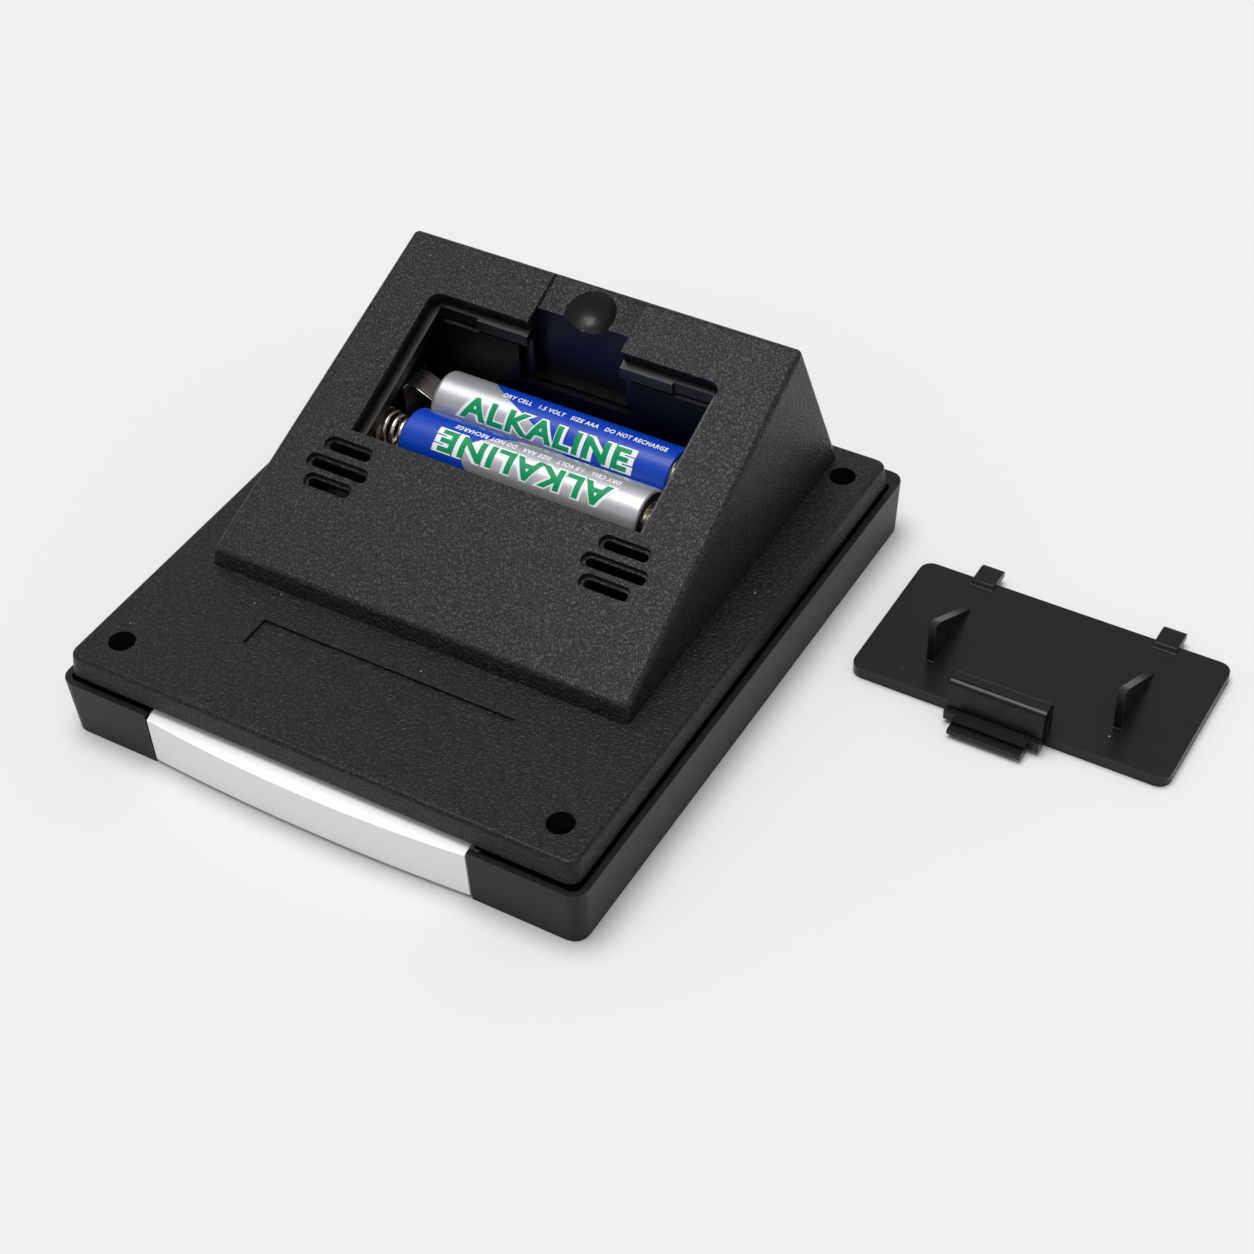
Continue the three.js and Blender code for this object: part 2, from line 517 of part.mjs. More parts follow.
class SpringPath extends THREE.Curve {
  constructor(baseX, tipX, y) {
    super();
    this.baseX = baseX;
    this.tipX = tipX;
    this.y = y;
  }
  getPoint(t, target = new THREE.Vector3()) {
    const angle = t * SPRING.turns * 2 * Math.PI;
    const radius = THREE.MathUtils.lerp(SPRING.baseRadius, SPRING.tipRadius, t);
    return target.set(THREE.MathUtils.lerp(this.baseX, this.tipX, t),
      this.y + radius * Math.cos(angle), CELL.z + radius * Math.sin(angle));
  }
}

// A round section drawn along a path.
function tube(path, radius, steps, sides) {
  const section = new THREE.Shape();
  section.absarc(0, 0, radius, 0, 2 * Math.PI);
  return new THREE.ExtrudeGeometry(section, { steps, extrudePath: path, curveSegments: sides / 2 });
}

function cellSpring(plateFace, cellEnd, y) {
  const side = Math.sign(cellEnd - plateFace);
  const stand = side * (SPRING.wire + GAP);
  return tube(new SpringPath(plateFace + stand, cellEnd - stand, y), SPRING.wire, SPRING.turns * 10, 6);
}

// The four pieces of a cell, drawn with the positive end towards +X and the middle at x = 0.
// Each profile is a list of [radius, distance along the cell] points.
function cellPieces() {
  const half = CELL.length / 2;
  const lathe = (points) => new THREE.LatheGeometry(points.map(([r, h]) => new THREE.Vector2(r, h)), 20)
    .rotateZ(-Math.PI / 2);
  const top = half - CELL.nub;
  const r = CELL.radius;
  const n = CELL.nubRadius;
  const jacket = [[0, -half + 0.4], [4.45, -half + 0.4], [4.45, -half + 0.15], [r - 0.15, -half + 0.15],
    [r, -half + 0.4], [r, top - 0.5], [r - 0.4, top], [4.55, top], [4.55, top - 0.35], [0, top - 0.35]];
  const ring = [[3.2, top - 0.3], [4.5, top - 0.3], [4.5, top - 0.05], [3.2, top - 0.05], [3.2, top - 0.3]];
  const positive = [[0, top - 0.3], [3.15, top - 0.3], [3.15, top], [n + 0.2, top], [n, top + 0.3],
    [n, half - 0.15], [n - 0.2, half], [0, half]];
  const negative = [[0, -half], [3.9, -half], [4.4, -half + 0.1], [4.4, -half + 0.35], [0, -half + 0.35]];
  return { jacket: lathe(jacket), insulator: lathe(ring), positive_cap: lathe(positive),
    negative_cap: lathe(negative) };
}

// ---- battery cover ----
function coverPlate() {
  const c = COVER;
  const r = COVER_RIB;
  const front = c.y - c.depth / 2;
  const back = c.y + c.depth / 2;
  const plate = roundedSlab(c.width, c.depth, c.corner, 0, c.thick).translate(c.x, c.y, 0);
  const adds = [];
  for (const side of [-1, 1]) {
    const x = c.x + side * c.tabX;
    adds.push(bar([[back - 2, c.tabLow], [back + c.tabReach, c.tabLow], [back + c.tabReach, c.tabTop - 0.3],
      [back + c.tabReach - 1, c.tabTop], [back - 1.2, c.tabTop], [back - 2, c.tabTop - 0.8]],
    x - c.tabWidth / 2, x + c.tabWidth / 2));
    adds.push(bar([[r.front, c.thick - 0.3], [r.back, c.thick - 0.3], [r.back, c.thick + 0.2],
      [r.crest, r.crestZ], [r.tip, r.tipZ]], x - r.thick / 2, x + r.thick / 2));
  }
  const legTop = LATCH.ridgeZ - LATCH.ridgeRadius - 0.1;
  adds.push(bar([[front, c.thick - 0.5], [LATCH.legInner, c.thick - 0.5], [LATCH.legInner, legTop],
    [LATCH.legInner - LATCH.leg, legTop], [front, c.thick + 0.5]],
  LATCH.x - LATCH.width / 2, LATCH.x + LATCH.width / 2));
  return carve(plate, adds);
}

// The latch's outer leg, folded over from the ridge, and its two-stepped lip.
function coverLatch() {
  const l = LATCH;
  const top = l.ridgeZ + l.ridgeRadius;
  const under = l.ridgeZ - 0.3;
  const legEnd = l.ridgeZ - l.ridgeRadius;
  const legOuter = l.legInner - l.leg;
  const fold = new THREE.Shape();
  fold.moveTo(l.outer, l.lipTop);
  fold.lineTo(l.outerTop, l.ridgeZ + 0.2);
  fold.quadraticCurveTo(l.outerTop + 0.2, top, l.outerTop + 1.2, top);
  fold.lineTo(l.legInner - l.ridgeRadius, top);
  fold.quadraticCurveTo(l.legInner, top, l.legInner, l.ridgeZ - 0.4);
  fold.lineTo(l.legInner, legEnd);
  fold.lineTo(legOuter, legEnd);
  fold.quadraticCurveTo(legOuter, under, legOuter - 0.4, under);
  fold.quadraticCurveTo(l.outerTop + l.skin + 0.1, under, l.outerTop + l.skin, legEnd);
  fold.lineTo(l.outer + l.skin, l.lipTop - 0.4);
  fold.lineTo(l.outer + l.skin, l.lipLow);
  fold.lineTo(l.foot, l.lipLow);
  fold.lineTo(l.foot, l.lipTop);
  const middle = (l.lipLow + l.lipTop) / 2;
  const lip = [[l.outer, l.lipLow], [l.lipY, l.lipLow], [l.lipY, middle], [l.lipY + l.lipStep, middle],
    [l.lipY + l.lipStep, l.lipTop - 0.1], [l.outer, l.lipTop - 0.1]];
  return carve(bar(fold, l.x - l.width / 2, l.x + l.width / 2, 5),
    [bar(lip, l.x - l.lipWidth / 2, l.x + l.lipWidth / 2)]);
}

// ---- screws, wires and small parts ----
// A cross-headed screw with its head seated at z = 0, the head on the side that up points to.
function screw(headRadius, headHeight, shankRadius, length, up) {
  const head = post(0, 0, headRadius, 0, headHeight, 14);
  const shank = post(0, 0, shankRadius, -length, 0.1, 8);
  const deep = headHeight * 0.45;
  const cross = [
    block(-headRadius * 0.6, headRadius * 0.6, -0.22, 0.22, deep, headHeight + 1),
    block(-0.22, 0.22, -headRadius * 0.6, headRadius * 0.6, deep, headHeight + 1),
  ];
  const geometry = carve(head, [shank], cross);
  return up > 0 ? geometry : geometry.rotateX(Math.PI);
}

function batteryWire(y, padX) {
  const path = new THREE.CatmullRomCurve3([
    new THREE.Vector3(TRAY.left + 1.15, y, 13.2), new THREE.Vector3(TRAY.left + 1.25, y, 11.9),
    new THREE.Vector3(TRAY.left + 2.6, y + 0.6, 10.5), new THREE.Vector3(padX - 1.5, y + 1.6, 10.6),
    new THREE.Vector3(padX, y + 1.8, 9.9), new THREE.Vector3(padX + 0.1, y + 1.8, BOARD.high + GAP)]);
  return tube(path, 0.55, 18, 8);
}

// ---- materials ----
const finish = (color, roughness, metalness = 0, more = {}) => new THREE.MeshStandardMaterial({
  color, roughness, metalness, ...more });
const LOOKS = {
  housing: () => finish(0x2c2d2e, 0.62),
  frame: () => finish(0x2a2b2b, 0.45),
  cover: () => finish(0x1f2021, 0.42),
  white: () => finish(0xe8e8e8, 0.4),
  inner: () => finish(0x17181a, 0.55),
  lens: () => finish(0x9aa4a8, 0.08, 0, { transparent: true, opacity: 0.35 }),
  glass: () => finish(0x8d9a86, 0.15),
  diffuser: () => finish(0xf2f4f0, 0.3),
  foil: () => finish(0xd8dada, 0.35, 0.6),
  rubber: () => finish(0x3a3d40, 0.85),
  board: () => finish(0x1f5a36, 0.5),
  epoxy: () => finish(0x0c0c0c, 0.35),
  nickel: () => finish(0xc9c4ba, 0.28, 1),
  steel: () => finish(0xa8aaad, 0.35, 1),
  jacket: () => finish(0x1450c0, 0.3, 0.4),
  redWire: () => finish(0xb02018, 0.5),
  blackWire: () => finish(0x141414, 0.5),
};

// ---- assembly ----
const clock = new THREE.Group();

function place(name, geometry, look, position = [0, 0, 0], parent = clock) {
  const mesh = new THREE.Mesh(geometry, look());
  mesh.name = name;
  mesh.position.set(...position);
  parent.add(mesh);
  return mesh;
}

place('front_frame', frontFrame(), LOOKS.frame);
place('front_lens', roundedSlab(LENS.width, LENS.depth, LENS.corner - GAP, 0, LENS.thick), LOOKS.lens);
place('lcd_glass', block(-LCD.width / 2, LCD.width / 2, -LCD.depth / 2, LCD.depth / 2, LCD.low, LCD.high),
  LOOKS.glass);
place('lcd_reflector', block(-LIGHT.half, LIGHT.half, -LIGHT.halfY, LIGHT.halfY, LCD.high + FACE_GAP,
  LIGHT.foilHigh), LOOKS.foil);
place('light_diffuser', block(-LIGHT.half, LIGHT.half, -LIGHT.halfY, LIGHT.halfY, LIGHT.low, LIGHT.high),
  LOOKS.diffuser);
for (const [name, side] of [['zebra_strip_upper', -1], ['zebra_strip_lower', 1]]) {
  const strip = block(-ZEBRA.half, ZEBRA.half, -ZEBRA.halfY, ZEBRA.halfY, LCD.high + FACE_GAP,
    BOARD.low - FACE_GAP);
  place(name, strip, LOOKS.rubber, [0, side * ZEBRA.y, 0]);
}
place('backlight_led', block(LIGHT.half + 0.4, LIGHT.half + 0.4 + LIGHT.ledWidth, -1.5, 1.5, LIGHT.ledLow,
  BOARD.low - FACE_GAP), LOOKS.diffuser);
place('main_board', mainBoard(), LOOKS.board);
place('controller_blob', controllerBlob(), LOOKS.epoxy, [6, -14, BOARD.high + FACE_GAP]);
place('clock_crystal', new THREE.CylinderGeometry(CRYSTAL.radius, CRYSTAL.radius, CRYSTAL.length, 16)
  .rotateZ(Math.PI / 2), LOOKS.steel, [22, -16, BOARD.high + CRYSTAL.radius + 0.1]);
place('supply_capacitor', post(0, 0, CAPACITOR.radius, 0, CAPACITOR.height, 20), LOOKS.epoxy,
  [-14, -20, BOARD.high + 0.1]);
place('alarm_buzzer', alarmBuzzer(), LOOKS.epoxy, [-25, -5.6, LID.top + FACE_GAP]);

// Places one screw at each corner of a pair of rows, numbered along X and then along Y.
function placeScrews(name, rows, z, geometry) {
  rows.forEach(([x, y], row) => [-1, 1].forEach((side, column) => {
    place(`${name}_${2 * row + column + 1}`, geometry.clone(), LOOKS.steel, [side * x, y, z]);
  }));
}
const housingSeat = LID.top - LID.plate - FACE_GAP;
placeScrews('case_screw', POST.places, POST.seat + FACE_GAP, screw(1.55, 1.4, 0.85, 5.4, 1));
placeScrews('board_screw', [-1, 1].map((row) => [BOARD_SCREW.x, row * BOARD_SCREW.y]), BOARD.high + FACE_GAP,
  screw(1.6, 1.1, 0.7, 5.0, 1));
placeScrews('housing_screw', HOUSING_SCREW.ys.map((y) => [HOUSING_SCREW.x, y]), housingSeat,
  screw(1.9, 1.2, 0.85, HOUSING_SCREW.reach - housingSeat, -1));

place('snooze_bar', snoozeBar(), LOOKS.white);
place('snooze_switch', snoozeSwitch(), LOOKS.epoxy);
place('snooze_plunger', snoozePlunger(), LOOKS.white);
KEYS.xs.forEach((x, i) => place(`key_cap_${i + 1}`, keyCap(), LOOKS.frame, [x, KEYS.y, 0]));
place('key_pad', keyPad(), LOOKS.rubber);

place('back_cover', backCover(), LOOKS.housing);
place('stand_housing', standHousing(), LOOKS.housing);
place('battery_tray', batteryTray(), LOOKS.inner);
place('negative_plate', tailedPlate(CELL.ys[0]), LOOKS.nickel);
place('positive_plate', positivePlate(), LOOKS.nickel);
place('link_plate', linkPlate(), LOOKS.nickel);
place('left_spring', cellSpring(TRAY.left + FACE_GAP + CONTACT.thick, CELL.lefts[0],
  CELL.ys[0]), LOOKS.nickel);
place('right_spring', cellSpring(TRAY.right - FACE_GAP - CONTACT.thick, CELL.lefts[1] + CELL.length,
  CELL.ys[1]), LOOKS.nickel);

CELL.ys.forEach((y, i) => {
  const cell = new THREE.Group();
  cell.position.set(CELL.lefts[i] + CELL.length / 2, y, CELL.z);
  cell.rotation.z = i * Math.PI;
  const looks = { jacket: LOOKS.jacket, insulator: LOOKS.epoxy, positive_cap: LOOKS.nickel,
    negative_cap: LOOKS.nickel };
  for (const [piece, geometry] of Object.entries(cellPieces())) {
    place(`cell_${i + 1}_${piece}`, geometry, looks[piece], [0, 0, 0], cell);
  }
  clock.add(cell);
});

place('negative_wire', batteryWire(CELL.ys[0], -20), LOOKS.blackWire);
place('positive_wire', batteryWire(CELL.ys[1], -17), LOOKS.redWire);
place('cover_plate', coverPlate(), LOOKS.cover);
place('cover_latch', coverLatch(), LOOKS.cover);

export default clock;
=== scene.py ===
# A digital desk alarm clock on its face, with its battery cover off and laid beside it.
import math

import bmesh
import bpy
from mathutils import Matrix, Vector


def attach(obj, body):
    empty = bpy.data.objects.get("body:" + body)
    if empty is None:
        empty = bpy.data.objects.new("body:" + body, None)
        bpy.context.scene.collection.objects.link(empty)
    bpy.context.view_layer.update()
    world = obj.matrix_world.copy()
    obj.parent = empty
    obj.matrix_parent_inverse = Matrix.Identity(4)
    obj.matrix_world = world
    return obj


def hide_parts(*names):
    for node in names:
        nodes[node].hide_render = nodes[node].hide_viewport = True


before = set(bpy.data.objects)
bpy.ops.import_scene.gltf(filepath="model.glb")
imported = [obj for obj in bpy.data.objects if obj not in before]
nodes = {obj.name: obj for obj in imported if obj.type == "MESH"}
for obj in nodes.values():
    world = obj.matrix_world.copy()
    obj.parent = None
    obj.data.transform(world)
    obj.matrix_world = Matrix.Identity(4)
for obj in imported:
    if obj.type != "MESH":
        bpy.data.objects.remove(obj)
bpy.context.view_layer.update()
MM = 0.001

# ---- Table, light and camera ----
# The clock lies on a plain pale table top, lit by one broad lamp overhead and by the white
# room around it. The camera looks down on the back of the clock from its right front corner.
scene = bpy.context.scene
scene.view_settings.view_transform = "Standard"
scene.view_settings.look = "None"

camera_data = bpy.data.cameras.new("camera")
camera_data.lens = 71.85
camera_data.sensor_width = 36.0
camera_data.clip_start = 0.02
camera = bpy.data.objects.new("camera", camera_data)
scene.collection.objects.link(camera)
look = Vector((-0.3906, 0.6124, -0.6873)).normalized()
across = Vector((0.8621, 0.5051, -0.0398)).normalized()
up = across.cross(look).normalized()
across = look.cross(up).normalized()
camera.matrix_world = Matrix((
    (across.x, up.x, -look.x, 174.3 * MM),
    (across.y, up.y, -look.y, -235.0 * MM),
    (across.z, up.z, -look.z, 274.1 * MM),
    (0, 0, 0, 1),
))
scene.camera = camera

LAMP_TOWARDS, LAMP_STRENGTH, LAMP_SPREAD = (-0.12, 0.02, 0.99), 2.45, math.radians(40)
lamp_data = bpy.data.lights.new("overhead_lamp", "SUN")
lamp_data.energy = LAMP_STRENGTH
lamp_data.angle = LAMP_SPREAD
lamp = bpy.data.objects.new("overhead_lamp", lamp_data)
scene.collection.objects.link(lamp)
lamp.rotation_euler = Vector(LAMP_TOWARDS).to_track_quat("Z", "Y").to_euler()

room = bpy.data.worlds.new("room")
room.use_nodes = True
room.node_tree.nodes["Background"].inputs["Color"].default_value = (1.0, 1.0, 1.0, 1)
room.node_tree.nodes["Background"].inputs["Strength"].default_value = 0.45
scene.world = room

TABLE_HALF, TABLE_GAP = 6.0, 0.00002
table_top = bpy.data.meshes.new("table_top")
board = bmesh.new()
bmesh.ops.create_grid(board, x_segments=1, y_segments=1, size=TABLE_HALF)
bmesh.ops.translate(board, verts=board.verts, vec=(0, 0, -TABLE_GAP))
board.to_mesh(table_top)
board.free()
table = bpy.data.objects.new("table_top", table_top)
scene.collection.objects.link(table)
table_finish = bpy.data.materials.new("table_finish")
table_finish.use_nodes = True
table_shader = table_finish.node_tree.nodes["Principled BSDF"]
table_shader.inputs["Base Color"].default_value = (0.72, 0.72, 0.72, 1)
table_shader.inputs["Roughness"].default_value = 0.9
table_shader.inputs["Specular IOR Level"].default_value = 0.1
table_top.materials.append(table_finish)


# ---- Front frame ----
# The tray-shaped front moulding, in satin black ABS. Its walls have a fine spark-eroded texture, the
# thin rim is bevelled, and four posts inside take the screws from the back cover.
def moulded(node, body, edge=0.25, steps=2, sharp=32.0, rim=0.0):
    """A CAD moulding with its loose triangles welded and its edges rounded: by edge where the faces
    beside them have room for it, or by rim where they are short. Edges with no room stay crisp."""
    weld, level, room_for = 2e-6, math.radians(0.6), 2.1
    mesh = bpy.data.meshes.new(node + "_moulding")
    work = bmesh.new()
    work.from_mesh(nodes[node].data)
    bmesh.ops.remove_doubles(work, verts=work.verts, dist=weld)
    bmesh.ops.dissolve_limit(work, angle_limit=level, verts=work.verts, edges=work.edges)

    def keen(side):
        return len(side.link_faces) == 2 and side.calc_face_angle(0.0) > math.radians(sharp)

    def roomy(side, width):
        start, along = side.verts[0].co, (side.verts[1].co - side.verts[0].co).normalized()
        for face in side.link_faces:
            reach = max((v.co - start - along * (v.co - start).dot(along)).length for v in face.verts)
            if reach < room_for * width:
                return False
        return side.calc_length() > room_for * width

    def round_off(sides, width, segments):
        for side in sides:
            side.smooth = True
        bmesh.ops.bevel(work, geom=sides, offset=width, offset_type="OFFSET", segments=segments, profile=0.5,
                        affect="EDGES", material=-1, clamp_overlap=True)

    for side in work.edges:
        side.smooth = not keen(side)
    for width, segments in ((edge, steps), (rim, 2)):
        if width:
            round_off([side for side in work.edges if not side.smooth and keen(side)
                       and roomy(side, width * MM)], width * MM, segments)
    for face in work.faces:
        face.smooth = True
    work.to_mesh(mesh)
    work.free()
    piece = bpy.data.objects.new(node + "_moulding", mesh)
    scene.collection.objects.link(piece)
    even = piece.modifiers.new("even_shading", "WEIGHTED_NORMAL")
    even.keep_sharp = True
    even.weight = 100
    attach(piece, body)
    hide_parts(node)
    return piece


def group(name, takes, gives):
    """An empty shader node group with the named inputs and outputs."""
    tree = bpy.data.node_groups.new(name, "ShaderNodeTree")
    for label, kind in takes:
        tree.interface.new_socket(name=label, in_out="INPUT", socket_type=kind)
    for label, kind in gives:
        tree.interface.new_socket(name=label, in_out="OUTPUT", socket_type=kind)
    return tree, tree.nodes.new("NodeGroupInput"), tree.nodes.new("NodeGroupOutput")


def wired(tree, kind, settings=None, **sockets):
    """A node of one kind: a value is put on the socket, and an output is linked to it. A socket is given
    by its name, with _ for a space, or by its number, as i0."""
    node = tree.nodes.new(kind)
    for key, value in (settings or {}).items():
        setattr(node, key, value)
    for key, value in sockets.items():
        numbered = key[0] == "i" and key[1:].isdigit()
        socket = node.inputs[int(key[1:]) if numbered else key.replace("_", " ")]
        if isinstance(value, bpy.types.NodeSocket):
            tree.links.new(value, socket)
        else:
            socket.default_value = value
    return node


FLOAT, VECTOR = "NodeSocketFloat", "NodeSocketVector"

# The tool's etched texture: wandering ridges with a finer grain over them.
grain, grain_in, grain_out = group("moulded_grain", [("Vector", VECTOR), ("Scale", FLOAT)],
                                   [("Height", FLOAT)])
broad = wired(grain, "ShaderNodeTexNoise", Vector=grain_in.outputs["Vector"], Scale=grain_in.outputs["Scale"],
              Detail=1.0, Roughness=0.4, Distortion=0.6)
away = wired(grain, "ShaderNodeMath", {"operation": "SUBTRACT"}, i0=broad.outputs["Fac"], i1=0.5)
size_of = wired(grain, "ShaderNodeMath", {"operation": "ABSOLUTE"}, i0=away.outputs[0])
ridge = wired(grain, "ShaderNodeMapRange", {"interpolation_type": "SMOOTHSTEP"}, Value=size_of.outputs[0],
              From_Min=0.0, From_Max=0.13, To_Min=1.0, To_Max=0.0)
finer = wired(grain, "ShaderNodeMath", {"operation": "MULTIPLY"}, i0=grain_in.outputs["Scale"], i1=2.7)
fine = wired(grain, "ShaderNodeTexNoise", Vector=grain_in.outputs["Vector"], Scale=finer.outputs[0],
             Detail=2.0)
both = wired(grain, "ShaderNodeMix", Factor=0.35, A=ridge.outputs[0], B=fine.outputs["Fac"])
grain.links.new(both.outputs[0], grain_out.inputs["Height"])

# Settled dust: sparse round specks, on the faces that look up.
dust, dust_in, dust_out = group("dust_specks", [("Vector", VECTOR), ("Scale", FLOAT), ("Share", FLOAT)],
                                [("Mask", FLOAT)])
spots = wired(dust, "ShaderNodeTexVoronoi", Vector=dust_in.outputs["Vector"], Scale=dust_in.outputs["Scale"])
parts = wired(dust, "ShaderNodeSeparateColor", Color=spots.outputs["Color"])
chosen = wired(dust, "ShaderNodeMath", {"operation": "LESS_THAN"}, i0=parts.outputs[0],
               i1=dust_in.outputs["Share"])
width_of = wired(dust, "ShaderNodeMapRange", Value=parts.outputs[1], From_Max=1.0, To_Min=0.02, To_Max=0.07)
near = wired(dust, "ShaderNodeMath", {"operation": "LESS_THAN"}, i0=spots.outputs["Distance"],
             i1=width_of.outputs[0])
outward = dust.nodes.new("ShaderNodeNewGeometry").outputs["Normal"]
tilt = wired(dust, "ShaderNodeSeparateXYZ", Vector=outward)
upward = wired(dust, "ShaderNodeMath", {"operation": "GREATER_THAN"}, i0=tilt.outputs[2], i1=0.5)
speck = wired(dust, "ShaderNodeMath", {"operation": "MULTIPLY"}, i0=chosen.outputs[0], i1=near.outputs[0])
speck = wired(dust, "ShaderNodeMath", {"operation": "MULTIPLY"}, i0=speck.outputs[0], i1=upward.outputs[0])
dust.links.new(speck.outputs[0], dust_out.inputs["Mask"])

# Hairline scratches: noise drawn out long in one direction, and kept only at its peaks.
scratches, scratch_in, scratch_out = group("hairlines", [("Vector", VECTOR), ("Turn", VECTOR)],
                                           [("Mask", FLOAT)])
laid = wired(scratches, "ShaderNodeMapping", Vector=scratch_in.outputs["Vector"],
             Rotation=scratch_in.outputs["Turn"], Scale=(90.0, 5200.0, 90.0))
drawn = wired(scratches, "ShaderNodeTexNoise", Vector=laid.outputs[0], Scale=1.0, Detail=1.0)
peaks = wired(scratches, "ShaderNodeMapRange", Value=drawn.outputs["Fac"], From_Min=0.70, From_Max=0.78)
scratches.links.new(peaks.outputs[0], scratch_out.inputs["Mask"])


def grouped(tree, inner, **sockets):
    """One of the effects above, placed in a material with its own values."""
    return wired(tree, "ShaderNodeGroup", {"node_tree": inner}, **sockets)


def material(name, colour, rough, metallic=0.0, specular=0.5):
    """A new finish, with its node tree and its shader."""
    made = bpy.data.materials.new(name)
    made.use_nodes = True
    shader = made.node_tree.nodes["Principled BSDF"]
    shader.inputs["Base Color"].default_value = (*colour, 1)
    shader.inputs["Roughness"].default_value = rough
    shader.inputs["Metallic"].default_value = metallic
    shader.inputs["Specular IOR Level"].default_value = specular
    return made, made.node_tree, shader


DUST_COLOUR, DUST_PITCH, SHINE_SPREAD = (0.32, 0.31, 0.29, 1), 420.0, 0.14
# Painted shade: the deeper black given to the polished hollow of the cover's seat and compartment.
POLISHED_AND_SHADED_BLACK = (0.0015, 0.0015, 0.0016, 1)


def plastic(name, colour, pale, rough, cells, depth, specular=0.5, dusty=0.03, coat=0.0, inside=None):
    """A grained moulding plastic: cells is the grain's pitch per metre and depth its height in mm. The
    tool was polished inside a box under a plane, given in mm: no grain there, and its colour there is a
    deeper black, painted shade for the hollow it marks."""
    made, tree, shader = material(name, colour, rough, specular=specular)
    shader.inputs["Coat Weight"].default_value = coat
    shader.inputs["Coat Roughness"].default_value = 0.2
    at = tree.nodes.new("ShaderNodeTexCoord").outputs["Object"]
    etched = grouped(tree, grain, Vector=at, Scale=cells)
    bump = wired(tree, "ShaderNodeBump", Height=etched.outputs["Height"], Strength=1.0, Distance=depth * MM)
    tree.links.new(bump.outputs[0], shader.inputs["Normal"])
    if inside:
        lean, low, middle_y, half_y, half_x = inside
        place = wired(tree, "ShaderNodeSeparateXYZ", Vector=at)
        sunk = wired(tree, "ShaderNodeVectorMath", {"operation": "DOT_PRODUCT"}, i0=at, i1=lean)
        tests = [wired(tree, "ShaderNodeMath", {"operation": "LESS_THAN"}, i0=sunk.outputs["Value"],
                       i1=low * MM)]
        for axis, centre, half in ((0, 0.0, half_x), (1, middle_y, half_y)):
            tests.append(wired(tree, "ShaderNodeMath", {"operation": "COMPARE"}, i0=place.outputs[axis],
                               i1=centre * MM, i2=half * MM))
        within = tests[0].outputs[0]
        for test in tests[1:]:
            within = wired(tree, "ShaderNodeMath", {"operation": "MULTIPLY"}, i0=within,
                           i1=test.outputs[0]).outputs[0]
        grained = wired(tree, "ShaderNodeMath", {"operation": "SUBTRACT"}, i0=1.0, i1=within)
        tree.links.new(grained.outputs[0], bump.inputs["Strength"])
    shine = wired(tree, "ShaderNodeMapRange", Value=etched.outputs["Height"],
                  To_Min=rough + SHINE_SPREAD / 2, To_Max=rough - SHINE_SPREAD / 2)
    tree.links.new(shine.outputs[0], shader.inputs["Roughness"])
    lit = wired(tree, "ShaderNodeMix", {"data_type": "RGBA"}, i0=etched.outputs["Height"], i6=(*colour, 1),
                i7=(*pale, 1))
    specks = grouped(tree, dust, Vector=at, Scale=DUST_PITCH, Share=dusty)
    dusted = wired(tree, "ShaderNodeMix", {"data_type": "RGBA"}, i0=specks.outputs["Mask"], i6=lit.outputs[2],
                   i7=DUST_COLOUR)
    shown = dusted.outputs[2]
    # Painted shade: inside the box the colour is swapped for the deeper black, darkening that hollow.
    if inside:
        shown = wired(tree, "ShaderNodeMix", {"data_type": "RGBA"}, i0=within, i6=shown,
                      i7=POLISHED_AND_SHADED_BLACK).outputs[2]
    tree.links.new(shown, shader.inputs["Base Color"])
    return made


def dressed(piece, finish):
    """Puts one material on every face of a piece and files it under a material slot."""
    piece.data.materials.clear()
    piece.data.materials.append(finish)
    return piece


frame_plastic = plastic("frame_plastic", (0.003, 0.003, 0.0031), (0.007, 0.007, 0.0073), 0.40, 4200, 0.010,
                        specular=0.20, dusty=0.02, coat=0.05)
dressed(moulded("front_frame", "clock", edge=0.3, rim=0.12), frame_plastic)

# ---- Back cover ----
# The flat back moulding that drops into the frame. Black ABS with a fine etched texture, a soft
# rounded top edge, four deep screw holes and a shallow recess for a rating label.
back_plastic = plastic("back_cover_plastic", (0.002, 0.002, 0.0021), (0.009, 0.009, 0.0093), 0.40, 1500,
                       0.10, specular=0.26, dusty=0.04, coat=0.06)
dressed(moulded("back_cover", "clock", edge=0.2, rim=0.1), back_plastic)

# ---- Stand housing ----
# The wedge that holds the battery box and props the clock up. Black ABS with a coarser leather
# texture and rounded edges; two groups of sound slots go through the slope. The tool was polished
# where it forms the cover's seat and the compartment, so they have no grain; they are also painted
# a deeper black there, as shade in that hollow.
SLOPE_UP, SEAT_LEVEL = (0.0, -0.3933, 0.9194), 24.3
SEAT_MIDDLE_Y, SEAT_HALF_Y, SEAT_HALF_X = 18.6, 17.6, 28.4
housing_plastic = plastic("stand_plastic", (0.002, 0.002, 0.0021), (0.012, 0.012, 0.0124), 0.38, 1600, 0.20,
                          specular=0.36, dusty=0.02, coat=0.05,
                          inside=(SLOPE_UP, SEAT_LEVEL, SEAT_MIDDLE_Y, SEAT_HALF_Y, SEAT_HALF_X))
dressed(moulded("stand_housing", "clock", edge=0.3, rim=0.1), housing_plastic)

# ---- Battery tray ----
# The box under the opening, which holds the cells on its saddles. It is moulded in plain black ABS
# with a very fine grain, and it is hidden but for its floor and its end walls.
tray_plastic = plastic("tray_plastic", (0.0012, 0.0012, 0.0013), (0.002, 0.002, 0.0021), 0.42, 1600, 0.006,
                       specular=0.12, dusty=0.02)
dressed(moulded("battery_tray", "clock", edge=0.15), tray_plastic)

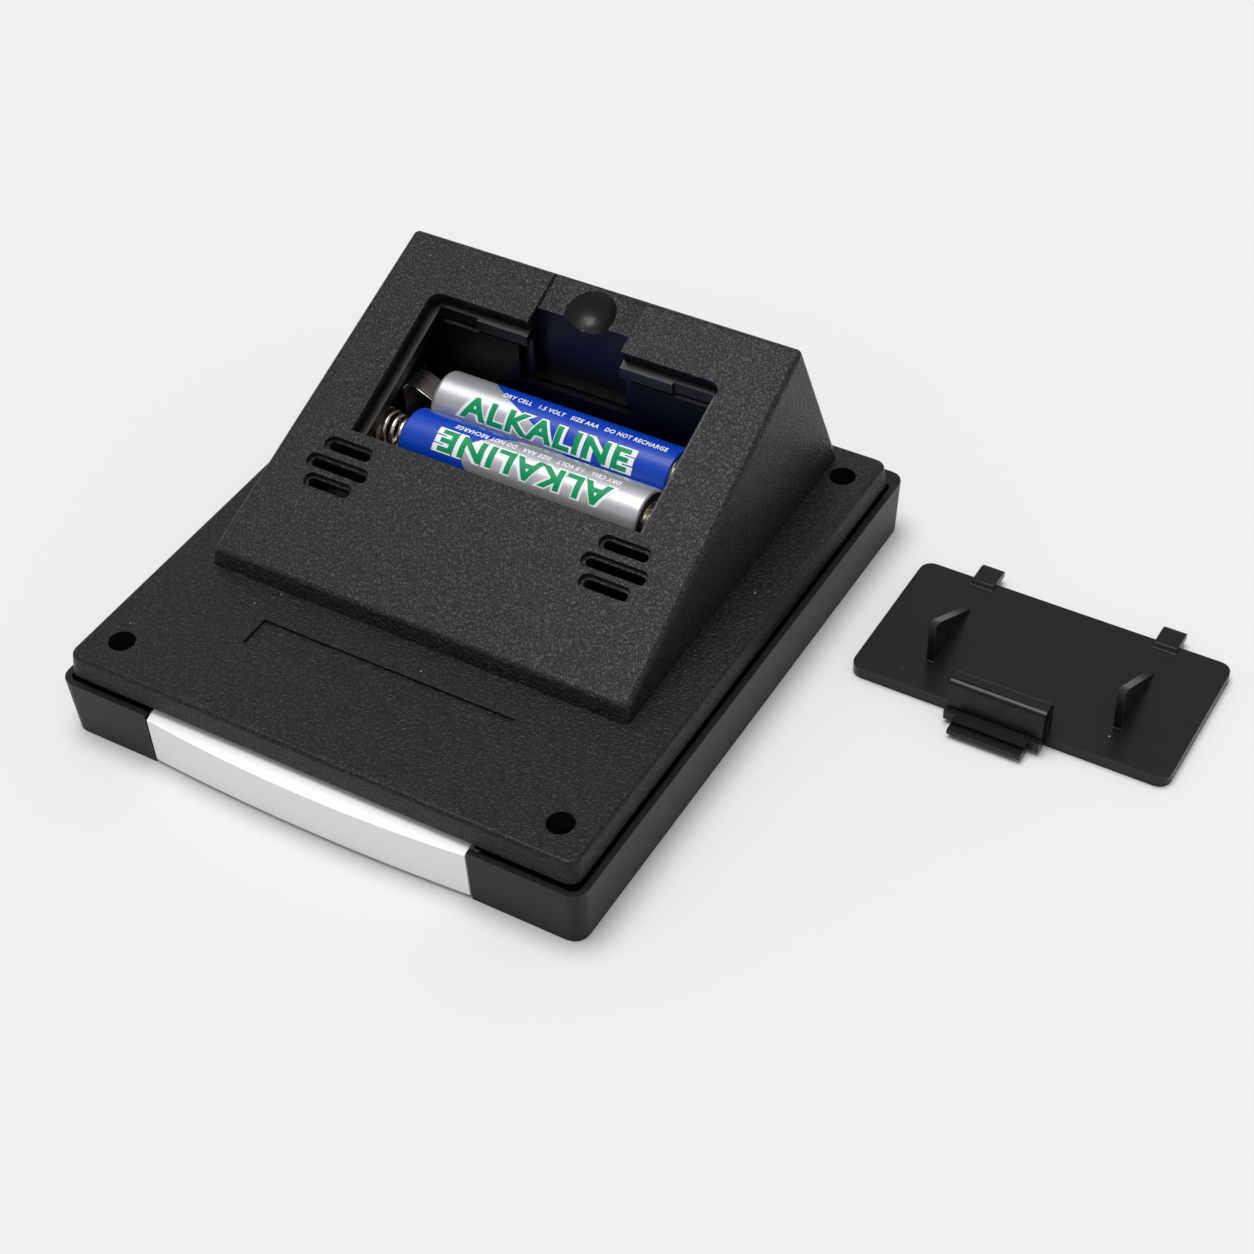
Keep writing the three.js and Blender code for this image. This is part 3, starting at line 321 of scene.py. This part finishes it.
# ---- Battery contacts and springs ----
# Plates and leaves stamped from nickel-plated spring steel, with coned springs wound from wire
# about 0.7 mm thick. The plating is bright, with faint rolling marks and a warm cast.
nickel_plate, tree, shader = material("nickel_plate", (0.85, 0.81, 0.75), 0.2, metallic=0.95)
at = tree.nodes.new("ShaderNodeTexCoord").outputs["Object"]
rolled = grouped(tree, scratches, Vector=at, Turn=(0.0, 0.0, 0.3))
dulled = wired(tree, "ShaderNodeMapRange", Value=rolled.outputs["Mask"], To_Min=0.22, To_Max=0.5)
tree.links.new(dulled.outputs[0], shader.inputs["Roughness"])
tarnish = wired(tree, "ShaderNodeTexNoise", Vector=at, Scale=160.0, Detail=2.0)
toned = wired(tree, "ShaderNodeMix", {"data_type": "RGBA"}, i0=tarnish.outputs["Fac"],
              i6=(0.92, 0.89, 0.84, 1), i7=(0.78, 0.70, 0.60, 1))
tree.links.new(toned.outputs[2], shader.inputs["Base Color"])
for contact in ("negative_plate", "positive_plate", "link_plate"):
    dressed(moulded(contact, "clock", edge=0.1), nickel_plate)


def tube_mesh(name, path, radius, sides=10):
    """A closed round wire along a list of points, with a flat cap at each end. Each ring's own upward
    direction follows from the last one's, so that the wire doesn't twist."""
    mesh = bpy.data.meshes.new(name)
    work = bmesh.new()
    rings = []
    frame_up = Vector((0.13, 0.21, 0.97)).normalized()
    for n, point in enumerate(path):
        ahead = (path[min(n + 1, len(path) - 1)] - path[max(n - 1, 0)]).normalized()
        side = ahead.cross(frame_up).normalized()
        frame_up = side.cross(ahead).normalized()
        rings.append([work.verts.new(point + radius * (math.cos(a) * side + math.sin(a) * frame_up))
                      for a in (2 * math.pi * k / sides for k in range(sides))])
    for first, second in zip(rings, rings[1:]):
        for k in range(sides):
            work.faces.new((first[k], second[k], second[(k + 1) % sides], first[(k + 1) % sides]))
    work.faces.new(rings[0])
    work.faces.new(list(reversed(rings[-1])))
    bmesh.ops.recalc_face_normals(work, faces=work.faces)
    for face in work.faces:
        face.smooth = len(face.verts) == 4
    work.to_mesh(mesh)
    work.free()
    return mesh


def new_piece(name, mesh, body, finish, slot, *replaced):
    """A piece made here in place of the plain nodes named last: it rides on their body."""
    piece = bpy.data.objects.new(name, mesh)
    scene.collection.objects.link(piece)
    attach(piece, body)
    if replaced:
        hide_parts(*replaced)
    return dressed(piece, finish)


CELL_Z, NEAR_Y, FAR_Y = 22.6, 11.0, 21.5
SPRING_TURNS, SPRING_STEPS, SPRING_WIRE, SPRING_WIDE, SPRING_NARROW = 4, 128, 0.35, 3.4, 2.3
for name, base_x, tip_x, spring_y in (("left_spring", -26.8, -21.45, NEAR_Y),
                                      ("right_spring", 25.3, 22.65, FAR_Y)):
    coils = []
    for n in range(SPRING_STEPS + 1):
        t = n / SPRING_STEPS
        turned = t * SPRING_TURNS * 2 * math.pi
        reach = SPRING_WIDE + (SPRING_NARROW - SPRING_WIDE) * t
        coils.append(Vector((base_x + (tip_x - base_x) * t, spring_y + reach * math.cos(turned),
                             CELL_Z + reach * math.sin(turned))) * MM)
    new_piece(name + "_wire", tube_mesh(name + "_wire", coils, SPRING_WIRE * MM), "clock", nickel_plate,
              "nickel_plate", name)

# ---- Cells ----
# Two AAA cells in a printed shrink sleeve, silver at the positive end and blue at the other, with one
# plain word in green and a line of small white print. The cans' ends are nickel plated, and a black
# ring sets off the cap.
CELL_RADIUS, CELL_HALF, CELL_TOP = 5.15, 22.25, 21.25
jacket_print, tree, shader = material("cell_sleeve", (0.6, 0.62, 0.64), 0.34, specular=0.3)
shader.inputs["Coat Weight"].default_value = 0.15
shader.inputs["Coat Roughness"].default_value = 0.12
printed = wired(tree, "ShaderNodeSeparateXYZ", Vector=tree.nodes.new("ShaderNodeUVMap").outputs[0])
around = wired(tree, "ShaderNodeMath", {"operation": "MULTIPLY"}, i0=printed.outputs[1], i1=2 * math.pi)
swing = wired(tree, "ShaderNodeMath", {"operation": "COSINE"}, i0=around.outputs[0])
edge_at = wired(tree, "ShaderNodeMapRange", Value=swing.outputs[0], From_Min=-1.0, From_Max=1.0, To_Min=0.26,
                To_Max=0.80)
past = wired(tree, "ShaderNodeMath", {"operation": "SUBTRACT"}, i0=edge_at.outputs[0], i1=printed.outputs[0])
blue = wired(tree, "ShaderNodeMapRange", Value=past.outputs[0], From_Min=-0.002, From_Max=0.002)
turning = wired(tree, "ShaderNodeMapping", Vector=tree.nodes.new("ShaderNodeTexCoord").outputs["Object"],
                Scale=(26000.0, 700.0, 700.0))
foil = wired(tree, "ShaderNodeTexNoise", Vector=turning.outputs[0], Scale=1.0, Detail=1.0)
silver = wired(tree, "ShaderNodeMix", {"data_type": "RGBA"}, i0=foil.outputs["Fac"], i6=(0.40, 0.41, 0.43, 1),
               i7=(0.66, 0.67, 0.69, 1))
inked = wired(tree, "ShaderNodeMix", {"data_type": "RGBA"}, i0=blue.outputs[0], i6=silver.outputs[2],
              i7=(0.002, 0.045, 0.42, 1))
tree.links.new(inked.outputs[2], shader.inputs["Base Color"])
metal = wired(tree, "ShaderNodeMapRange", Value=blue.outputs[0], To_Min=0.6, To_Max=0.0)
tree.links.new(metal.outputs[0], shader.inputs["Metallic"])

cap_ring, tree, shader = material("cell_ring", (0.012, 0.012, 0.013), 0.5)
pores = wired(tree, "ShaderNodeTexNoise", Vector=tree.nodes.new("ShaderNodeTexCoord").outputs["Object"],
              Scale=4000.0)
dented = wired(tree, "ShaderNodeBump", Height=pores.outputs["Fac"], Distance=0.01 * MM)
tree.links.new(dented.outputs[0], shader.inputs["Normal"])

green_ink, tree, shader = material("green_ink", (0.0, 0.27, 0.10), 0.4, specular=0.2)
white_ink, tree_white, shader_white = material("white_ink", (0.82, 0.84, 0.86), 0.4, specular=0.2)
for ink_tree, ink_shader, low, high in ((tree, shader, 0.28, 0.42), (tree_white, shader_white, 0.32, 0.48)):
    at = ink_tree.nodes.new("ShaderNodeTexCoord").outputs["Object"]
    patchy = wired(ink_tree, "ShaderNodeTexNoise", Vector=at, Scale=2500.0, Detail=2.0)
    sheen = wired(ink_tree, "ShaderNodeMapRange", Value=patchy.outputs["Fac"], To_Min=low, To_Max=high)
    ink_tree.links.new(sheen.outputs[0], ink_shader.inputs["Roughness"])


def cell_frame(number):
    """Where a cell lies: its positive end is along its own +X."""
    x, y, turn = {1: (1.45, NEAR_Y, 0.0), 2: (-0.25, FAR_Y, math.pi)}[number]
    return Matrix.Translation(Vector((x, y, CELL_Z)) * MM) @ Matrix.Rotation(turn, 4, "Z")


def lathed(name, profile, place, from_angle=0.0, sides=56):
    """A closed turned form about its own X axis, from (radius, distance) points. The UV runs along it, and
    around it from from_angle degrees."""
    mesh = bpy.data.meshes.new(name)
    work = bmesh.new()
    points = [work.verts.new((along * MM, radius * MM, 0)) for radius, along in profile]
    edges = [work.edges.new(pair) for pair in zip(points, points[1:])]
    bmesh.ops.spin(work, geom=points + edges, axis=(1, 0, 0), cent=(0, 0, 0), angle=2 * math.pi,
                   steps=sides, use_merge=True)
    bmesh.ops.remove_doubles(work, verts=work.verts, dist=1e-7)
    bmesh.ops.recalc_face_normals(work, faces=work.faces)
    uv = work.loops.layers.uv.new("print")
    for face in work.faces:
        along = [vert.co.x for vert in face.verts]
        face.smooth = len(face.verts) == 4 and max(along) - min(along) > 1e-6
        middle = face.calc_center_median()
        middle_angle = math.atan2(middle.z, middle.y)
        for loop in face.loops:
            y, z = loop.vert.co.yz
            off = math.atan2(z, y) - middle_angle if math.hypot(y, z) > 1e-6 else 0.0
            turned = middle_angle + math.remainder(off, 2 * math.pi)
            loop[uv].uv = ((loop.vert.co.x / MM + CELL_HALF) / (2 * CELL_HALF),
                           turned / (2 * math.pi) - from_angle / 360)
    work.transform(place)
    work.to_mesh(mesh)
    work.free()
    return mesh


def wrapped_text(name, words, height, length, start, middle, lift, grow, place, body, finish):
    """Words printed round a cell: start is where they begin along it, middle the angle they centre on,
    and length how far they run. The letters are cut into strips to bend, and stand lift off the sleeve."""
    capital, thick, strips = 0.72, 0.012, 16
    letters = bpy.data.curves.new(name, "FONT")
    letters.body = words
    letters.size = height / capital * MM
    letters.extrude = thick * MM
    letters.offset = grow * MM
    letters.resolution_u = 4
    letters.space_character = 1.12
    letters.align_y = "CENTER"
    lettering = bpy.data.objects.new(name + "_flat", letters)
    scene.collection.objects.link(lettering)
    mesh = bpy.data.meshes.new_from_object(lettering.evaluated_get(bpy.context.evaluated_depsgraph_get()))
    bpy.data.objects.remove(lettering)
    bpy.data.curves.remove(letters)
    work = bmesh.new()
    work.from_mesh(mesh)
    bmesh.ops.remove_doubles(work, verts=work.verts, dist=1e-7)
    for cut in range(-9, 10):
        bmesh.ops.bisect_plane(work, geom=work.verts[:] + work.edges[:] + work.faces[:],
                               plane_co=(0, cut * height / strips * MM, 0), plane_no=(0, 1, 0), dist=1e-8)
    span = max(v.co.x for v in work.verts) - 2 * grow * MM
    for vert in work.verts:
        vert.co.x *= length * MM / span
        angle = math.radians(middle) + vert.co.y / (CELL_RADIUS * MM)
        radius = (CELL_RADIUS + lift) * MM + vert.co.z
        vert.co = Vector((start * MM - vert.co.x, radius * math.cos(angle), radius * math.sin(angle)))
    bmesh.ops.recalc_face_normals(work, faces=work.faces)
    work.transform(place)
    work.to_mesh(mesh)
    work.free()
    mesh.name = name
    new_piece(name, mesh, body, finish, "cell_wrap")


WORDS_HIGH, WORDS_START, WORDS_LONG, RIM = 3.5, 15.3, 30.0, 0.3
SMALL_WORDS, SMALL_HIGH, SMALL_LONG = "DRY CELL   1.5 VOLT   SIZE AAA   DO NOT RECHARGE", 0.95, 30.0
OUTLINE_LIFT, WORDS_LIFT = 0.014, 0.042
for number, blue_from, words_at, small_at, small_start in ((1, 310, 118, 84, 16), (2, 138, 45, 92, 10)):
    own, place, stem = f"cell_{number}", cell_frame(number), f"cell_{number}_"
    r, h, top = CELL_RADIUS, CELL_HALF, CELL_TOP
    new_piece(stem + "sleeve", lathed(stem + "sleeve", [
        (0, -h + 0.4), (4.45, -h + 0.4), (4.5, -h + 0.18), (4.75, -h + 0.15), (5.0, -h + 0.2),
        (5.11, -h + 0.32), (r, -h + 0.5), (r, -h + 0.52), (r, top - 0.62), (r, top - 0.6),
        (5.08, top - 0.3), (4.95, top - 0.1), (4.75, top), (4.6, top - 0.03), (4.55, top - 0.35),
        (0, top - 0.35)], place, blue_from), own, jacket_print, "cell_wrap", stem + "jacket")
    new_piece(stem + "ring", lathed(stem + "ring", [
        (3.2, top - 0.3), (4.5, top - 0.3), (4.5, top - 0.07), (4.48, top - 0.05), (3.22, top - 0.05),
        (3.2, top - 0.07), (3.2, top - 0.3)], place), own, cap_ring, "cell_gasket", stem + "insulator")
    new_piece(stem + "nub", lathed(stem + "nub", [
        (0, top - 0.3), (3.15, top - 0.3), (3.15, top - 0.04), (3.1, top), (2.2, top), (2.0, top + 0.1),
        (1.9, top + 0.3), (1.9, h - 0.2), (1.84, h - 0.06), (1.7, h), (0, h)], place), own, nickel_plate,
        "nickel_plate", stem + "positive_cap")
    new_piece(stem + "base", lathed(stem + "base", [
        (0, -h), (3.85, -h), (4.2, -h + 0.03), (4.38, -h + 0.12), (4.4, -h + 0.2), (4.4, -h + 0.35),
        (0, -h + 0.35)], place), own, nickel_plate, "nickel_plate", stem + "negative_cap")
    wrapped_text(stem + "size_outline", "ALKALINE", WORDS_HIGH, WORDS_LONG + 2 * RIM, WORDS_START + RIM,
                 words_at, OUTLINE_LIFT, 0.42, place, own, white_ink)
    wrapped_text(stem + "size_print", "ALKALINE", WORDS_HIGH, WORDS_LONG, WORDS_START, words_at, WORDS_LIFT,
                 0.17, place, own, green_ink)
    wrapped_text(stem + "small_print", SMALL_WORDS, SMALL_HIGH, SMALL_LONG, small_start, small_at,
                 OUTLINE_LIFT, 0.03, place, own, white_ink)

# ---- Battery cover and its latch ----
# The loose cover, lying with its outer face down: a satin black ABS plate with two tabs, two ribs that
# hold the cells down, and a folded latch whose outer leg gives when its lip is pressed.
cover_plastic = plastic("cover_plastic", (0.0025, 0.0025, 0.0026), (0.005, 0.005, 0.0052), 0.36, 5600,
                        0.005, specular=0.17, dusty=0.14, coat=0.3)
tree = cover_plastic.node_tree
shader = tree.nodes["Principled BSDF"]
at = tree.nodes.new("ShaderNodeTexCoord").outputs["Object"]
rubbed = grouped(tree, scratches, Vector=at, Turn=(0.0, 0.0, 0.9))
under = shader.inputs["Base Color"].links[0].from_socket
marked = wired(tree, "ShaderNodeMix", {"data_type": "RGBA"}, i0=rubbed.outputs["Mask"], i6=under,
               i7=(0.012, 0.012, 0.0125, 1))
tree.links.new(marked.outputs[2], shader.inputs["Base Color"])
dressed(moulded("cover_plate", "battery_cover", edge=0.25, rim=0.1), cover_plastic)
dressed(moulded("cover_latch", "cover_latch", edge=0.22, sharp=40.0, rim=0.08), cover_plastic)

# ---- Snooze bar ----
# The long white key along the clock's edge, moulded in satin ABS with well-rounded edges. Its ears
# and the web behind it guide it onto the switch.
bar_plastic = plastic("bar_plastic", (0.87, 0.87, 0.865), (0.91, 0.91, 0.905), 0.38, 5200, 0.004, dusty=0.0)
dressed(moulded("snooze_bar", "snooze", edge=0.42, steps=3, rim=0.2), bar_plastic)

# ---- Snooze switch ----
# A small tactile switch on the board's edge: a black nylon body, and a pale acetal plunger that the
# bar pushes and the switch's own spring returns.
black_resin = plastic("black_resin", (0.012, 0.012, 0.012), (0.022, 0.022, 0.022), 0.42, 4800, 0.008,
                      dusty=0.0)
dressed(moulded("snooze_switch", "clock", edge=0.12), black_resin)
acetal = plastic("acetal", (0.66, 0.65, 0.60), (0.72, 0.71, 0.67), 0.34, 5200, 0.004, dusty=0.0)
dressed(moulded("snooze_plunger", "snooze_plunger", edge=0.14), acetal)

# ---- Screws ----
# Self-tapping cross-head screws of zinc-plated steel, slightly blotched and with a dark bluish cast.
# Four hold the case, four the board and four the stand housing.
screw_steel, tree, shader = material("screw_steel", (0.16, 0.165, 0.175), 0.34, metallic=1.0)
at = tree.nodes.new("ShaderNodeTexCoord").outputs["Object"]
blotched = wired(tree, "ShaderNodeTexNoise", Vector=at, Scale=1400.0, Detail=3.0)
plated = wired(tree, "ShaderNodeMix", {"data_type": "RGBA"}, i0=blotched.outputs["Fac"],
               i6=(0.20, 0.205, 0.22, 1), i7=(0.11, 0.115, 0.125, 1))
tree.links.new(plated.outputs[2], shader.inputs["Base Color"])
worn = wired(tree, "ShaderNodeMapRange", Value=blotched.outputs["Fac"], To_Min=0.22, To_Max=0.48)
tree.links.new(worn.outputs[0], shader.inputs["Roughness"])
for row in ("case_screw", "board_screw", "housing_screw"):
    for number in range(1, 5):
        dressed(moulded(f"{row}_{number}", "clock", edge=0.09), screw_steel)

# ---- Set keys ----
# Four small black ABS key caps that stand through the face, over one silicone pad with a dome for
# each. The strips that join the display to the board are silicone too.
key_plastic = plastic("key_plastic", (0.016, 0.016, 0.017), (0.026, 0.026, 0.027), 0.38, 5200, 0.006,
                      dusty=0.0)
for number in range(1, 5):
    dressed(moulded(f"key_cap_{number}", f"key_{number}", edge=0.2), key_plastic)
silicone = plastic("silicone", (0.05, 0.055, 0.06), (0.075, 0.08, 0.085), 0.7, 3000, 0.01, specular=0.3,
                   dusty=0.0)
dressed(moulded("key_pad", "clock", edge=0.25), silicone)
for strip_name in ("zebra_strip_upper", "zebra_strip_lower"):
    dressed(moulded(strip_name, "clock", edge=0.12), silicone)

# ---- Display window and its stack ----
# A clear acrylic window over a grey-green liquid crystal glass, a silver foil, and a milky light guide
# lit from one end. The window has a few hairline scratches, and the foil is faintly creased.
clear_lens, tree, shader = material("clear_lens", (0.94, 0.96, 0.96), 0.04)
shader.inputs["Transmission Weight"].default_value = 0.92
shader.inputs["IOR"].default_value = 1.49
at = tree.nodes.new("ShaderNodeTexCoord").outputs["Object"]
lines = grouped(tree, scratches, Vector=at, Turn=(0.0, 0.0, 0.6))
hazed = wired(tree, "ShaderNodeMapRange", Value=lines.outputs["Mask"], To_Min=0.04, To_Max=0.3)
tree.links.new(hazed.outputs[0], shader.inputs["Roughness"])
dressed(moulded("front_lens", "clock", edge=0.12), clear_lens)

lcd_glass, tree, shader = material("lcd_glass", (0.26, 0.31, 0.23), 0.1)
shader.inputs["Coat Weight"].default_value = 0.6
at = tree.nodes.new("ShaderNodeTexCoord").outputs["Object"]
cloudy = wired(tree, "ShaderNodeTexNoise", Vector=at, Scale=60.0, Detail=2.0)
tinted = wired(tree, "ShaderNodeMix", {"data_type": "RGBA"}, i0=cloudy.outputs["Fac"],
               i6=(0.24, 0.29, 0.21, 1), i7=(0.30, 0.35, 0.26, 1))
tree.links.new(tinted.outputs[2], shader.inputs["Base Color"])
dressed(moulded("lcd_glass", "clock", edge=0.1), lcd_glass)

foil_film, tree, shader = material("reflector_film", (0.72, 0.73, 0.73), 0.35, metallic=0.8)
at = tree.nodes.new("ShaderNodeTexCoord").outputs["Object"]
creased = wired(tree, "ShaderNodeTexNoise", Vector=at, Scale=180.0, Detail=3.0)
wavy = wired(tree, "ShaderNodeBump", Height=creased.outputs["Fac"], Distance=0.05 * MM)
tree.links.new(wavy.outputs[0], shader.inputs["Normal"])
dressed(moulded("lcd_reflector", "clock", edge=0.05), foil_film)

acrylic, tree, shader = material("diffuser_acrylic", (0.80, 0.82, 0.80), 0.28)
at = tree.nodes.new("ShaderNodeTexCoord").outputs["Object"]
dots = wired(tree, "ShaderNodeTexVoronoi", Vector=at, Scale=900.0)
printed_dots = wired(tree, "ShaderNodeMapRange", Value=dots.outputs["Distance"], From_Min=0.25, From_Max=0.32,
                     To_Min=0.6, To_Max=0.25)
tree.links.new(printed_dots.outputs[0], shader.inputs["Roughness"])
for sheet_name in ("light_diffuser", "backlight_led"):
    dressed(moulded(sheet_name, "clock", edge=0.12), acrylic)

# ---- Main board and what is on it ----
# A single-sided laminate board in green solder mask with tracks showing faintly, the clock chip under
# a drop of black resin, a tin can crystal, a capacitor in its sleeve and a piezo buzzer.
board_mask, tree, shader = material("board_laminate", (0.015, 0.11, 0.04), 0.35)
at = tree.nodes.new("ShaderNodeTexCoord").outputs["Object"]
tracks = wired(tree, "ShaderNodeTexBrick", Vector=at, Scale=260.0, Mortar_Size=0.06)
under_mask = wired(tree, "ShaderNodeMix", {"data_type": "RGBA"}, i0=tracks.outputs["Fac"],
                   i6=(0.02, 0.16, 0.06, 1), i7=(0.010, 0.085, 0.03, 1))
tree.links.new(under_mask.outputs[2], shader.inputs["Base Color"])
raised = wired(tree, "ShaderNodeBump", Height=tracks.outputs["Fac"], Distance=0.03 * MM)
tree.links.new(raised.outputs[0], shader.inputs["Normal"])
dressed(moulded("main_board", "clock", edge=0.08), board_mask)
dressed(moulded("controller_blob", "clock", edge=0.15, sharp=60.0), black_resin)
dressed(moulded("supply_capacitor", "clock", edge=0.3), black_resin)
dressed(moulded("alarm_buzzer", "clock", edge=0.3), black_resin)
dressed(moulded("clock_crystal", "clock", edge=0.15), screw_steel)

# ---- Battery wires ----
# Two short stranded wires in PVC insulation, red from the positive contact and black from the
# negative one, that carry the current to the board.
for wire_name, slot_name, colour, pale in (
        ("positive_wire", "red_insulation", (0.42, 0.015, 0.01), (0.50, 0.03, 0.02)),
        ("negative_wire", "black_insulation", (0.012, 0.012, 0.012), (0.022, 0.022, 0.022))):
    insulation = plastic(slot_name, colour, pale, 0.4, 1800, 0.01, dusty=0.0)
    dressed(moulded(wire_name, "clock", edge=0.08, sharp=60.0), insulation)
